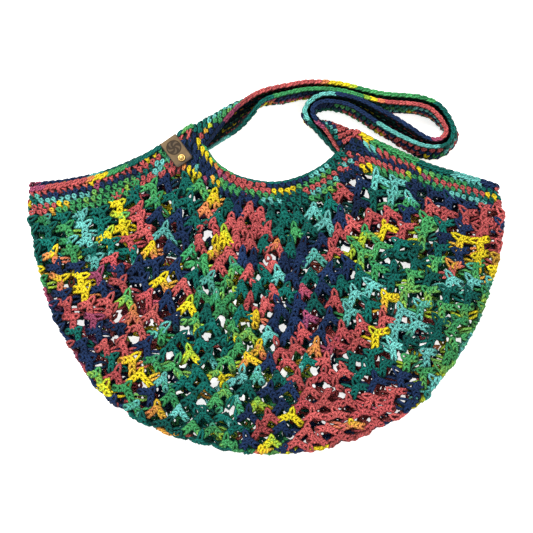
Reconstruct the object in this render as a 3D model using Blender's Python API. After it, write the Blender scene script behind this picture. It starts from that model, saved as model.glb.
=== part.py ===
# Crocheted mesh market bag lying flat, its strap looped above the mouth.
# Plan positions are millimetres from the middle of the bag, with +Y from the foot to the strap.
import math

import bmesh
import bpy
from mathutils import Vector

for old in list(bpy.data.objects):
    bpy.data.objects.remove(old, do_unlink=True)

MM = 0.001
MID_Y = -45.2

CLOTH = 3.4
GAP = 0.5
BACK_Z = CLOTH / 2
FOLD_R = 3.2
FRONT_EDGE_Z = BACK_Z + 2 * FOLD_R
FRONT_Z = 12.7
CROWN_REACH = 45.0
FOLD_STEPS = 4

NET_COLUMNS = 26
NET_ROWS = 10
HOLE_SHARE = 0.46
SIDE_SHARE = 0.235

STRAP_STATIONS = 76
STRAP_POINTS = 9
STRAP_HALF = 1.6
RIDGE_HALF = 2.3

LABEL_THICK = 1.6
LABEL_HALF_W = 9.2
LABEL_FRONT = 28.5
LABEL_BACK = 25.0
LABEL_CORNER = 2.2
POST_R = 1.5
POST_CLEAR = 0.4
CAP_R = 4.1
CAP_RISE = 1.5
CAP_LIP = 0.5

# Outer edge of the lying bag, from the left corner round the foot to the right corner: x, y.
FOLD_EDGE = [
    (-230, -1), (-225, -16), (-217, -50), (-205, -86), (-190, -117), (-157, -164), (-118, -193),
    (-82, -207), (-34, -219), (14, -222), (63, -215), (107, -198), (142, -178), (165, -153),
    (190, -119), (207, -83), (220, -46), (227, -12), (228, 6),
]
# Where the net meets the rim band, left to right: x, y.
NET_TOP = [
    (-225, -1), (-196, 2), (-158, 8), (-128, 20), (-104, 34), (-84, 41), (-64, 35), (-40, 20),
    (-12, 10), (18, 6), (44, 12), (66, 25), (84, 38), (100, 43), (126, 35), (158, 23), (194, 13), (223, 6),
]
# Share of the net top's length against share of the columns, closer under the mouth.
GATHER = [(0.0, 0.0), (0.27, 0.245), (0.40, 0.37), (0.56, 0.60), (0.74, 0.77), (1.0, 1.0)]

# Upper edge of the rim band in its runs: share of the columns, x, y.
WING_LEFT = [(0.0, -229, 28), (0.07, -190, 38), (0.13, -154, 45), (0.19, -122, 58), (0.245, -94, 74), (0.275, -73, 88)]
MOUTH = [
    (0.325, -58, 69), (0.37, -47, 51), (0.43, -30, 38), (0.50, -8, 31.5), (0.56, 12, 30.5), (0.62, 32, 36),
    (0.68, 52, 47), (0.73, 68, 64),
]
WING_RIGHT = [(0.785, 87, 82), (0.82, 108, 71), (0.87, 134, 60), (0.91, 160, 48), (0.95, 190, 39), (1.0, 224, 29)]

# Strap: front ridge, front belly corner, back belly corner and back ridge, each x, y, z.
STRAP = [
    ((-57.2, 69.7, 12.7), (-72.2, 88.7, 12.7), (-72.2, 88.7, 1.9), (-57.2, 69.7, 1.9)),
    ((-35, 95, 19), (-41, 105, 11), (-38, 104, 1.9), (-29, 85, 8)),
    ((-21, 106.5, 21), (-25, 112, 7), (-22, 110, 1.9), (-17, 95, 14)),
    ((-5, 118, 22), (-7, 121, 4), (-4, 112.5, 1.9), (-3, 110, 20)),
    ((18, 125, 23), (17, 124, 3), (18, 114, 1.9), (19, 117, 23)),
    ((42, 129, 23), (42, 129, 3), (42, 120, 1.9), (42, 122, 23)),
    ((71, 127, 23), (71, 127, 3), (71, 118.5, 1.9), (71, 120, 23)),
    ((109, 119, 23), (109, 118, 3), (109, 108, 1.9), (109, 111, 23)),
    ((147, 114, 23), (148, 114, 3), (146, 104, 1.9), (146, 106, 23)),
    ((168, 104, 23), (171, 105, 3), (163, 98, 1.9), (162, 98, 23)),
    ((178, 80, 23), (187, 81, 3), (177, 81, 1.9), (171, 80, 23)),
    ((170, 65, 23), (174, 60, 3), (167, 67, 1.9), (165, 71, 23)),
    ((150, 64, 23), (151, 57.5, 3), (152, 67, 1.9), (152, 72, 23)),
    ((127, 74, 23), (130, 69.5, 3), (134, 80, 1.9), (131, 86, 23)),
    ((107, 86, 23), (110, 82, 3), (115, 92, 1.9), (113, 97, 23)),
    ((80, 104, 23), (82, 100.5, 3), (85, 110.5, 1.9), (83, 112, 23)),
    ((56, 108, 23), (59, 107, 3), (56, 115, 1.9), (54, 115, 23)),
    ((44, 101, 23), (48, 102, 3), (36.5, 104, 1.9), (37, 102, 23)),
    ((48, 89, 22), (52, 96, 3), (42.5, 91, 1.9), (41, 89, 22)),
    ((57, 82, 19), (66, 92, 9), (63, 90, 1.9), (52, 80, 13)),
    ((67.5, 65.4, 12.7), (86.0, 83.4, 12.7), (86.0, 83.4, 1.9), (67.5, 65.4, 1.9)),
]

LABEL_TOP = (-95.5, 75.0)
LABEL_DOWN = (0.593, -0.805)
RIVET_DOWN = 20.5
RIVET_ACROSS = 0.6


def material(name, colour, roughness, metallic=0.0):
    made = bpy.data.materials.new(name)
    made.use_nodes = True
    shader = made.node_tree.nodes["Principled BSDF"]
    shader.inputs["Base Color"].default_value = (*colour, 1)
    shader.inputs["Roughness"].default_value = roughness
    shader.inputs["Metallic"].default_value = metallic
    return made


def spline(points, steps):
    """Catmull-Rom curve through points of any dimension, ends kept."""
    rows = [list(p) for p in points]
    rows = [rows[0]] + rows + [rows[-1]]
    curve = []
    for k in range(1, len(rows) - 2):
        a, b, c, d = rows[k - 1], rows[k], rows[k + 1], rows[k + 2]
        for n in range(steps):
            t = n / steps
            curve.append([
                0.5 * (2 * q + (r - p) * t + (2 * p - 5 * q + 4 * r - s) * t ** 2 + (3 * q - p - 3 * r + s) * t ** 3)
                for p, q, r, s in zip(a, b, c, d)
            ])
    curve.append(rows[-2])
    return curve


def lengths(points):
    total = [0.0]
    for a, b in zip(points, points[1:]):
        total.append(total[-1] + math.dist(a, b))
    return total


def at_share(points, shares):
    """Points of a polyline at shares of its length."""
    total = lengths(points)
    found = []
    for share in shares:
        want = min(max(share, 0.0), 1.0) * total[-1]
        k = 1
        while k < len(points) - 1 and total[k] < want:
            k += 1
        part = (want - total[k - 1]) / max(total[k] - total[k - 1], 1e-9)
        found.append([p + (q - p) * part for p, q in zip(points[k - 1], points[k])])
    return found


def look_up(table, x):
    for low, high in zip(table, table[1:]):
        if x <= high[0] or high is table[-1]:
            part = (x - low[0]) / (high[0] - low[0])
            return [p + (q - p) * part for p, q in zip(low[1:], high[1:])]


def eased(table, steps=8):
    return spline(table, steps)


def inset(points, depth):
    """Plan curve moved to its left by depth, the inner side of the fold edge."""
    moved = []
    for k, p in enumerate(points):
        a = points[max(k - 1, 0)]
        b = points[min(k + 1, len(points) - 1)]
        run = math.dist(a, b)
        moved.append([p[0] - (b[1] - a[1]) / run * depth, p[1] + (b[0] - a[0]) / run * depth])
    return moved


edge = spline(FOLD_EDGE, 10)
full_edge = [[-229, 28]] + edge + [[224, 29]]


def front_height(x, y):
    """Middle height of the front layer, rising away from the fold edge."""
    near = min(
        math.dist((x, y), (a[0] + (b[0] - a[0]) * t, a[1] + (b[1] - a[1]) * t))
        for a, b in zip(full_edge, full_edge[1:])
        for t in (0.0, 0.5)
    )
    t = min(max((near - FOLD_R - CLOTH / 2) / CROWN_REACH, 0.0), 1.0)
    return FRONT_EDGE_Z + (FRONT_Z - FRONT_EDGE_Z) * math.sin(t * math.pi / 2)


def lifted(x, y, z):
    return Vector((x, y - MID_Y, z)) * MM


def new_object(name, mesh_maker, look):
    mesh = bpy.data.meshes.new(name)
    bm = bmesh.new()
    mesh_maker(bm)
    bmesh.ops.remove_doubles(bm, verts=bm.verts, dist=1e-6)
    bmesh.ops.recalc_face_normals(bm, faces=bm.faces)
    for face in bm.faces:
        face.smooth = True
    bm.to_mesh(mesh)
    bm.free()
    mesh.materials.append(look)
    made = bpy.data.objects.new(name, mesh)
    bpy.context.scene.collection.objects.link(made)
    return made


def thicken(made, thick):
    solid = made.modifiers.new("cloth", "SOLIDIFY")
    solid.thickness = thick * MM
    solid.offset = 0
    solid.use_even_offset = True


# The net's columns stand on the rim and run to the foot; its rows end on the folded sides.
inner = inset(edge, FOLD_R + CLOTH / 2)
column_shares = [look_up([(c, s) for s, c in GATHER], n / NET_COLUMNS)[0] for n in range(NET_COLUMNS + 1)]
top_line = at_share(spline(NET_TOP, 8), column_shares)
foot_line = at_share(inner, [SIDE_SHARE + (1 - 2 * SIDE_SHARE) * n / NET_COLUMNS for n in range(NET_COLUMNS + 1)])
left_line = at_share(inner, [SIDE_SHARE * n / NET_ROWS for n in range(NET_ROWS + 1)])
right_line = at_share(inner, [1 - SIDE_SHARE * n / NET_ROWS for n in range(NET_ROWS + 1)])
left_line[0] = top_line[0] = [(p + q) / 2 for p, q in zip(left_line[0], top_line[0])]
right_line[0] = top_line[-1] = [(p + q) / 2 for p, q in zip(right_line[0], top_line[-1])]


def net_point(i, j):
    """Plan point of net column i and row j, blended from the four sides."""
    s = i / NET_COLUMNS
    t = j / NET_ROWS
    point = []
    for k in (0, 1):
        across = (1 - t) * top_line[i][k] + t * foot_line[i][k]
        down = (1 - s) * left_line[j][k] + s * right_line[j][k]
        corner = (
            (1 - s) * (1 - t) * top_line[0][k]
            + s * (1 - t) * top_line[-1][k]
            + (1 - s) * t * foot_line[0][k]
            + s * t * foot_line[-1][k]
        )
        point.append(across + down - corner)
    return point


def build_net(bm):
    made = {}

    def vertex(key, x, y, z):
        if key not in made:
            made[key] = bm.verts.new(lifted(x, y, z))
        return made[key]

    def lattice(side, i, j):
        x, y = net_point(i, j)
        return vertex((side, i, j), x, y, BACK_Z if side else front_height(x, y))

    for side in (0, 1):
        for i in range(NET_COLUMNS + 1):
            for j in range(NET_ROWS + 1):
                if (i + j) % 2 == 0:
                    continue
                around = [
                    (i - 1, j) if i else None,
                    (i, j + 1) if j < NET_ROWS else None,
                    (i + 1, j) if i < NET_COLUMNS else None,
                    (i, j - 1) if j else None,
                ]
                ring = [lattice(side, *p) if p else None for p in around]
                if None not in ring:
                    cx, cy = net_point(i, j)
                    inside = []
                    for k, p in enumerate(around):
                        px, py = net_point(*p)
                        x = cx + (px - cx) * HOLE_SHARE
                        y = cy + (py - cy) * HOLE_SHARE
                        z = BACK_Z if side else front_height(x, y)
                        inside.append(vertex((side, i, j, k), x, y, z))
                    for k in range(4):
                        n = (k + 1) % 4
                        bm.faces.new((ring[k], ring[n], inside[n], inside[k]))
                    continue
                middle = lattice(side, i, j)
                for k in range(4):
                    n = (k + 1) % 4
                    if ring[k] and ring[n]:
                        bm.faces.new((ring[k], ring[n], middle))

    border = [(0, j) for j in range(NET_ROWS + 1)]
    border += [(i, NET_ROWS) for i in range(1, NET_COLUMNS + 1)]
    border += [(NET_COLUMNS, j) for j in range(NET_ROWS - 1, -1, -1)]
    plan = [net_point(*p) for p in border]
    rings = []
    for k, p in enumerate(border):
        a = plan[max(k - 1, 0)]
        b = plan[min(k + 1, len(plan) - 1)]
        run = math.dist(a, b)
        nx = (b[1] - a[1]) / run
        ny = -(b[0] - a[0]) / run
        ring = [lattice(0, *p)]
        for n in range(1, FOLD_STEPS):
            turn = math.pi * (0.5 - n / FOLD_STEPS)
            out = FOLD_R * math.cos(turn)
            z = BACK_Z + FOLD_R + FOLD_R * math.sin(turn)
            ring.append(vertex(("fold", k, n), plan[k][0] + nx * out, plan[k][1] + ny * out, z))
        ring.append(lattice(1, *p))
        rings.append(ring)
    for here, after in zip(rings, rings[1:]):
        for n in range(FOLD_STEPS):
            bm.faces.new((here[n], after[n], after[n + 1], here[n + 1]))


BAND_ACROSS = 3
BAND_STEPS = 2 * NET_COLUMNS


def band_lower():
    """Band foot on the chords of the net's top line, a seam's width above it."""
    line = []
    for n in range(BAND_STEPS + 1):
        a = top_line[n // 2]
        b = top_line[(n + 1) // 2]
        line.append([(a[0] + b[0]) / 2, (a[1] + b[1]) / 2 + GAP + CLOTH * 0.04])
    return line


def band_upper():
    left = [(0.0, -224.4, 29)] + eased(WING_LEFT)[1:]
    right = eased(WING_RIGHT)[:-1] + [(1.0, 219.4, 30)]
    table = left + eased(MOUTH) + right
    shares = [n / BAND_STEPS for n in range(BAND_STEPS + 1)]
    for corner in (WING_LEFT[-1], MOUTH[0], MOUTH[-1], WING_RIGHT[0]):
        near = min(range(len(shares)), key=lambda n: abs(shares[n] - corner[0]))
        shares[near] = corner[0]
    return [look_up(table, share) for share in shares]


def build_band(bm):
    lower = band_lower()
    upper = band_upper()
    grid = {}
    for side in (0, 1):
        for n in range(BAND_STEPS + 1):
            for w in range(BAND_ACROSS + 1):
                t = w / BAND_ACROSS
                x = lower[n][0] + (upper[n][0] - lower[n][0]) * t
                y = lower[n][1] + (upper[n][1] - lower[n][1]) * t
                z = BACK_Z if side else front_height(x, y)
                grid[side, n, w] = bm.verts.new(lifted(x, y, z))
        for n in range(BAND_STEPS):
            for w in range(BAND_ACROSS):
                corners = ((n, w), (n + 1, w), (n + 1, w + 1), (n, w + 1))
                bm.faces.new([grid[side, a, b] for a, b in corners])
    for end, way in ((0, -1), (BAND_STEPS, 1)):
        rings = []
        for w in range(BAND_ACROSS + 1):
            base = grid[0, end, w].co
            ring = [grid[0, end, w]]
            for k in range(1, FOLD_STEPS):
                turn = math.pi * (0.5 - k / FOLD_STEPS)
                out = FOLD_R * math.cos(turn) * MM * way
                z = (BACK_Z + FOLD_R + FOLD_R * math.sin(turn)) * MM
                ring.append(bm.verts.new((base.x + out, base.y, z)))
            ring.append(grid[1, end, w])
            rings.append(ring)
        for here, after in zip(rings, rings[1:]):
            for k in range(FOLD_STEPS):
                bm.faces.new((here[k], after[k], after[k + 1], here[k + 1]))


def section_line(controls):
    """Rounded channel from the front ridge round the belly to the back ridge."""
    path = [Vector(c) for c in controls]
    for _ in range(3):
        cut = [path[0]]
        for a, b in zip(path, path[1:]):
            cut.append(a.lerp(b, 0.25))
            cut.append(a.lerp(b, 0.75))
        cut.append(path[-1])
        path = cut
    shares = [n / (STRAP_POINTS - 1) for n in range(STRAP_POINTS)]
    return [Vector(p) for p in at_share(path, shares)]


def build_strap(bm):
    flat = [[v for point in row for v in point] for row in STRAP]
    curve = spline(flat, 12)
    middle = [[sum(row[k::3]) / 4 for k in range(3)] for row in curve]
    total = lengths(middle)
    stations = []
    for n in range(STRAP_STATIONS + 1):
        want = n / STRAP_STATIONS * total[-1]
        k = 1
        while k < len(curve) - 1 and total[k] < want:
            k += 1
        part = (want - total[k - 1]) / max(total[k] - total[k - 1], 1e-9)
        row = [p + (q - p) * part for p, q in zip(curve[k - 1], curve[k])]
        stations.append(section_line([row[m:m + 3] for m in range(0, 12, 3)]))
    loops = []
    last = STRAP_POINTS - 1
    for n, line in enumerate(stations):
        before = stations[max(n - 1, 0)]
        after = stations[min(n + 1, STRAP_STATIONS)]
        outer = []
        inner_side = []
        for k, p in enumerate(line):
            along = line[min(k + 1, last)] - line[max(k - 1, 0)]
            travel = after[k] - before[k]
            normal = along.cross(travel).normalized()
            half = RIDGE_HALF if k in (0, last) else STRAP_HALF
            outer.append(p + normal * half)
            inner_side.append(p - normal * half)
        tip_a = line[0] + (line[0] - line[1]).normalized() * RIDGE_HALF
        tip_b = line[-1] + (line[-1] - line[-2]).normalized() * RIDGE_HALF
        ring = outer + [tip_b] + inner_side[::-1] + [tip_a]
        loops.append([bm.verts.new(lifted(p.x, p.y, max(p.z, 0.05))) for p in ring])
    count = len(loops[0])
    for here, there in zip(loops, loops[1:]):
        for k in range(count):
            n = (k + 1) % count
            bm.faces.new((here[k], here[n], there[n], there[k]))
    for ring in (loops[0], loops[-1]):
        for k in range(STRAP_POINTS - 1):
            bm.faces.new((ring[k], ring[k + 1], ring[-k - 3], ring[-k - 2]))
        bm.faces.new((ring[last], ring[last + 1], ring[last + 2]))
        bm.faces.new((ring[-2], ring[-1], ring[0]))


label_axis = Vector((*LABEL_DOWN, 0))
label_across = Vector((-LABEL_DOWN[1], LABEL_DOWN[0], 0))


def build_label(bm):
    turn_r = CLOTH / 2 + 0.3 + LABEL_THICK / 2
    rows = []
    for down in (LABEL_FRONT, LABEL_FRONT - LABEL_CORNER * 0.3, LABEL_FRONT - LABEL_CORNER, 14, 4, 1.8):
        rows.append((down, turn_r, down))
    for k in range(1, 6):
        turn = math.pi * (0.5 - k / 6)
        rows.append((1.8 - turn_r * math.cos(turn), turn_r * math.sin(turn), None))
    for down in (1.8, 4, 14, LABEL_BACK - LABEL_CORNER, LABEL_BACK - LABEL_CORNER * 0.3, LABEL_BACK):
        rows.append((down, -turn_r, down))
    ends = {
        LABEL_FRONT: LABEL_CORNER, LABEL_BACK: LABEL_CORNER,
        LABEL_FRONT - LABEL_CORNER * 0.3: LABEL_CORNER * 0.3, LABEL_BACK - LABEL_CORNER * 0.3: LABEL_CORNER * 0.3,
    }
    grid = []
    for down, rise, key in rows:
        half = LABEL_HALF_W - ends.get(key, 0.0)
        row = []
        for share in (-1, -0.5, 0, 0.5, 1):
            p = Vector((*LABEL_TOP, FRONT_Z + rise)) + label_axis * down + label_across * half * share
            row.append(bm.verts.new(lifted(*p)))
        grid.append(row)
    for a, b in zip(grid, grid[1:]):
        for k in range(4):
            bm.faces.new((a[k], a[k + 1], b[k + 1], b[k]))


rivet_at = Vector((*LABEL_TOP, 0)) + label_axis * RIVET_DOWN + label_across * RIVET_ACROSS


def turned(bm, profile, around):
    """Solid of revolution about Z from a radius and height profile that starts and ends at radius 0."""
    rings = []
    for radius, z in profile:
        if radius == 0:
            rings.append([bm.verts.new(lifted(rivet_at.x, rivet_at.y, z))])
            continue
        ring = []
        for k in range(around):
            turn = 2 * math.pi * k / around
            x = rivet_at.x + radius * math.cos(turn)
            y = rivet_at.y + radius * math.sin(turn)
            ring.append(bm.verts.new(lifted(x, y, z)))
        rings.append(ring)
    for low, high in zip(rings, rings[1:]):
        for k in range(around):
            n = (k + 1) % around
            corners = [low[k % len(low)], low[n % len(low)], high[n % len(high)], high[k % len(high)]]
            bm.faces.new(list(dict.fromkeys(corners)))


def build_rivet(bm):
    reach = CLOTH / 2 + 0.3 + LABEL_THICK + 0.3
    top = FRONT_Z + reach
    low = FRONT_Z - reach
    profile = [(0, low - 1.2), (CAP_R - 1, low - 1.2), (CAP_R - 0.3, low - 0.7), (CAP_R - 0.3, low), (POST_R, low)]
    profile += [(POST_R, top), (CAP_R, top), (CAP_R, top + CAP_LIP)]
    for turn in (0.35, 0.75, 1.15):
        profile.append((CAP_R * math.cos(turn), top + CAP_LIP + CAP_RISE * math.sin(turn)))
    profile.append((0, top + CAP_LIP + CAP_RISE))
    turned(bm, profile, 20)


def build_cutter(bm):
    turned(bm, [(0, 4), (POST_R + POST_CLEAR, 4), (POST_R + POST_CLEAR, 24), (0, 24)], 16)


net = new_object("net_pouch", build_net, material("cotton_net", (0.055, 0.27, 0.24), 0.9))
thicken(net, CLOTH)
band = new_object("rim_band", build_band, material("cotton_band", (0.52, 0.10, 0.09), 0.9))
thicken(band, CLOTH)
strap = new_object("strap", build_strap, material("cotton_strap", (0.05, 0.09, 0.24), 0.9))
label = new_object("leather_label", build_label, material("leather", (0.20, 0.10, 0.05), 0.6))
thicken(label, LABEL_THICK)
rivet = new_object("label_rivet", build_rivet, material("brass", (0.60, 0.40, 0.16), 0.3, 1.0))

cutter = new_object("post_cutter", build_cutter, material("cutter", (0.5, 0.5, 0.5), 0.5))
cutter.hide_render = True
cutter.display_type = "WIRE"
for cloth in (band, label):
    cut = cloth.modifiers.new("post_hole", "BOOLEAN")
    cut.operation = "DIFFERENCE"
    cut.solver = "EXACT"
    cut.object = cutter
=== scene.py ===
import math
from types import SimpleNamespace

import bmesh
import bpy
import numpy as np
from mathutils import Matrix, Vector


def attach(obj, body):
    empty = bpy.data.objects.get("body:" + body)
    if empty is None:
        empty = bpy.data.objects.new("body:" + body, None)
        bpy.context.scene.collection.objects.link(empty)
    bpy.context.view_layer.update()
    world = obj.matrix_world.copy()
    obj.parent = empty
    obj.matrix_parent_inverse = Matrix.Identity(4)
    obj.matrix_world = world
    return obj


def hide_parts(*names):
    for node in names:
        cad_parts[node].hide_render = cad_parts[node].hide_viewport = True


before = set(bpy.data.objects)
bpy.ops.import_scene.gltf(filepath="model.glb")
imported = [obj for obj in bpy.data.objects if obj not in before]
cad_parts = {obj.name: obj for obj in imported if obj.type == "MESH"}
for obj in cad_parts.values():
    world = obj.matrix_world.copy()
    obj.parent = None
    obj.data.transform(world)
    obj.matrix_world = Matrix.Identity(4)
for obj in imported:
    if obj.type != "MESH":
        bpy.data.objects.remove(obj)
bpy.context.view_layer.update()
print("frame loaded")

mm = 0.001
chance = np.random.default_rng(seed=11)


# the colours stand at these places of one dyed repeat of the yarn
shade = {
    "yellow": 0.025, "orange": 0.098, "coral": 0.22, "magenta": 0.340, "navy": 0.49,
    "teal": 0.675, "aqua": 0.816, "green": 0.900, "lime": 0.965,
}
dyeStops = [
    (0.000, "#FFE926"), (0.055, "#FFDF28"), (0.092, "#F59A55"), (0.130, "#E27069"), (0.300, "#C45257"),
    (0.345, "#BE5878"), (0.385, "#A04C70"), (0.420, "#213C69"), (0.560, "#152C52"), (0.600, "#055650"),
    (0.755, "#0E7C6E"), (0.790, "#7AD4CB"), (0.845, "#6CCDC2"), (0.880, "#36955A"), (0.930, "#52B268"),
    (0.970, "#B2D83E"), (1.000, "#FFE926"),
]


def linear(code):
    parts = [int(code[k:k + 2], 16) / 255 for k in (1, 3, 5)]
    return (*(c / 12.92 if c < 0.04045 else ((c + 0.055) / 1.055) ** 2.4 for c in parts), 1)


# plan sizes are in millimetres: x to the right of the photograph, y up it
def curveThrough(points, steps=12):
    p = np.array([points[0], *points, points[-1]], float)
    t = np.arange(steps)[:, None] / steps
    runs = []
    for a, b, c, d in zip(p, p[1:], p[2:], p[3:]):
        spot = 2 * b + (c - a) * t + (2 * a - 5 * b + 4 * c - d) * t ** 2
        runs.append(0.5 * (spot + (3 * b - a - 3 * c + d) * t ** 3))
    return np.vstack(runs + [p[-1:]])


def runOf(line):
    # how far along the line each of its points lies
    return np.concatenate([[0], np.cumsum(np.linalg.norm(np.diff(line, axis=0), axis=1))])


def readTable(want, at, table):
    return np.stack([np.interp(want, at, table[:, k]) for k in range(table.shape[1])], axis=-1)


def alongLine(line, share):
    run = runOf(line)
    return readTable(np.clip(share, 0, 1) * run[-1], run, line)


def unit(vectors):
    return vectors / np.maximum(np.linalg.norm(vectors, axis=-1, keepdims=True), 1e-9)


def outward(line, share, step=0.004):
    ahead = alongLine(line, np.clip(share + step, 0, 1)) - alongLine(line, np.clip(share - step, 0, 1))
    ahead = unit(ahead)
    return np.stack([ahead[..., 1], -ahead[..., 0]], axis=-1)


def ease(value, low, high):
    share = np.clip((value - low) / (high - low), 0, 1)
    return share * share * (3 - 2 * share)


bag = {
    "midY": -45.2, "lowest": 1.6, "cloth": 3.4, "foldRadius": 3.2, "mostTurn": 2.2,
    "frontHeight": 12.7, "crownReach": 45.0, "corners": [(-229, 28), (224, 29)],
    "foldEdge": [
        (-230, -1), (-225, -16), (-217, -50), (-205, -86), (-190, -117), (-157, -164), (-118, -193),
        (-82, -207), (-34, -219), (14, -222), (63, -215), (107, -198), (142, -178), (165, -153),
        (190, -119), (207, -83), (220, -46), (227, -12), (228, 6),
    ],
    # the fold line goes on past the edge at both corners
    "foldStart": [(-224.4, 60), (-224.4, 29)], "foldEnd": [(219.4, 30), (218.0, 60)],
    "netTop": [
        (-225, -1), (-196, 2), (-158, 8), (-128, 20), (-104, 34), (-84, 41), (-64, 35), (-40, 20),
        (-12, 10), (18, 6), (44, 12), (66, 25), (84, 38), (100, 43), (126, 35), (158, 23), (194, 13),
        (223, 6),
    ],
    # shares of the rim against shares of the net's top edge, for the net and for the band
    "gather": [(0.0, 0.0), (0.245, 0.27), (0.37, 0.40), (0.60, 0.56), (0.77, 0.74), (1.0, 1.0)],
    "bandGather": [
        (0.0, 0.0), (0.1, 0.118), (0.15, 0.186), (0.2, 0.246), (0.245, 0.288), (0.275, 0.312), (0.325, 0.340),
        (0.37, 0.377), (0.42, 0.415), (0.5, 0.482), (0.55, 0.523), (0.6, 0.570), (0.65, 0.619), (0.7, 0.670),
        (0.73, 0.698), (0.785, 0.736), (0.82, 0.760), (0.87, 0.806), (0.92, 0.874), (1.0, 1.0),
    ],
    # the rim: share of its length, x and y
    "rimStart": (0.0, -224.4, 24.4),
    "wingLeft": [
        (0.0, -229, 24), (0.07, -190, 28.5), (0.13, -154, 37.4), (0.19, -122, 52), (0.245, -94, 71),
        (0.275, -73, 86.5),
    ],
    "mouth": [
        (0.325, -61, 66.8), (0.37, -49.5, 50), (0.43, -31, 37.2), (0.50, -8, 30.7), (0.56, 12, 29.8),
        (0.62, 33, 35.2), (0.68, 54, 46), (0.73, 72, 61.8),
    ],
    "wingRight": [
        (0.785, 87, 81), (0.82, 108, 69), (0.87, 134, 56.4), (0.91, 160, 44.6), (0.95, 190, 36),
        (1.0, 224, 27),
    ],
    "rimEnd": (1.0, 219.4, 27.6),
}
backZ = bag["cloth"] / 2
foldR = bag["foldRadius"]
foldZ = backZ + foldR
edgeLine = curveThrough(bag["foldEdge"], 10)
innerLine = edgeLine - outward(edgeLine, np.linspace(0, 1, len(edgeLine))) * (foldR + bag["cloth"] / 2)
topCurve = curveThrough(bag["netTop"], 8)
fullEdge = np.vstack([bag["corners"][:1], edgeLine, bag["corners"][1:]])
fullEdge = alongLine(fullEdge, np.linspace(0, 1, 420))
foldLine = np.vstack([bag["foldStart"], innerLine[::2], bag["foldEnd"]])
rimTable = np.vstack([
    [bag["rimStart"]], curveThrough(bag["wingLeft"], 8)[1:], curveThrough(bag["mouth"], 8),
    curveThrough(bag["wingRight"], 8)[:-1], [bag["rimEnd"]],
])


def topAt(s, gather="gather"):
    rimShare, topShare = zip(*bag[gather])
    return alongLine(topCurve, np.interp(s, rimShare, topShare))


def rimAt(s):
    return readTable(s, rimTable[:, 0], rimTable[:, 1:])


# footDraw draws the rows closer together towards the foot
net = {
    "columns": 30, "rows": 18, "splitColumn": 15, "yarn": 3.2, "middleColumn": 14.6, "middleX": -4.0,
    "footPitch": 22.5, "footY": -224.0, "footRise": 30.0, "footHalf": 271, "cornerPitch": 17,
    "footDraw": 1.15, "firstRow": 0.35, "unevenness": 1.1, "pastFold": 7.0,
}


def netPlan(u, t):
    # columns fan out from the gathered rim to a foot line wider than the bag
    past = (u - np.clip(u, 0, net["columns"]))[..., None]
    top = topAt(np.clip(u / net["columns"], 0, 1)) + np.array([1.0, 0.0]) * past * net["cornerPitch"]
    footX = net["middleX"] + net["footPitch"] * (u - net["middleColumn"])
    footY = net["footY"] + net["footRise"] * ((footX - net["middleX"]) / net["footHalf"]) ** 2
    return top + (np.stack([footX, footY], axis=-1) - top) * t[..., None]


def frontZ(plan, atOnce=5000):
    # the front face rises from the folded edge to its crown
    flat = plan.reshape(-1, 2)
    near = np.empty(len(flat))
    for k in range(0, len(flat), atOnce):
        near[k:k + atOnce] = np.sqrt(((flat[k:k + atOnce, None] - fullEdge[None]) ** 2).sum(-1)).min(1)
    rise = np.sin(np.clip((near - foldR - bag["cloth"] / 2) / bag["crownReach"], 0, 1) * math.pi / 2)
    low = backZ + 2 * foldR
    return (low + (bag["frontHeight"] - low) * rise).reshape(plan.shape[:-1])


def placed(plan, z):
    z = np.maximum(z, bag["lowest"])
    return np.concatenate([plan[..., :1], plan[..., 1:] - bag["midY"], z[..., None]], axis=-1) * mm


def rolled(plan, away, over, h, side):
    # past the fold the cloth turns round towards the other face
    turn = np.clip(over / foldR, 0, bag["mostTurn"])
    radius = foldR + h
    flat = frontZ(plan) + h if side > 0 else backZ - h
    z = np.where(over > 0, foldZ + side * radius * np.cos(turn), flat)
    return placed(plan + away * (np.where(over > 0, radius * np.sin(turn), 0))[..., None], z)


def pastFold(plan):
    # nearest place on the fold line, the way out of it, and how far out the point is
    flat = plan.reshape(-1, 2)
    step = np.diff(foldLine, axis=0)
    long = np.linalg.norm(step, axis=1)
    way = step / long[:, None]
    reach = flat[:, None] - foldLine[None, :-1]
    share = np.clip((reach * way[None]).sum(-1), 0, long[None])
    near = foldLine[None, :-1] + way[None] * share[..., None]
    gap = flat[:, None] - near
    best = (gap ** 2).sum(-1).argmin(1)
    row = np.arange(len(flat))
    out = np.stack([way[best, 1], -way[best, 0]], axis=-1)
    over = (gap[row, best] * out).sum(-1)
    shape = plan.shape[:-1]
    return near[row, best].reshape(*shape, 2), out.reshape(*shape, 2), over.reshape(shape)


def laid(plan, h, side):
    near, away, over = pastFold(plan)
    inside = np.where((over > 0)[..., None], near, plan)
    return rolled(inside, away, over, h, side)


# the back edge shows above the front one at the left, and less so between two shares of the length
band = {
    "rows": 5, "pitch": 6.5, "yarn": 2.75, "edgePitch": 6.8, "edgeLong": 10.4, "edgeHalf": 1.75,
    "backShows": 6.5, "backFades": (0.17, 0.36), "knotTall": 5.6, "slip": 0.3, "slant": 0.2,
    "strapRoots": ((0.284, 0.325), (0.732, 0.776)), "mouthStart": (0.30, 0.345), "mouthEnd": (0.71, 0.75),
    "backShift": 0.31,
}
bandSpan = np.linspace(0, 1, 600)
bandRun = runOf(0.5 * topAt(bandSpan, "bandGather") + 0.5 * rimAt(bandSpan))
bandLength = bandRun[-1]
rimRun = runOf(rimAt(bandSpan))


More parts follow.
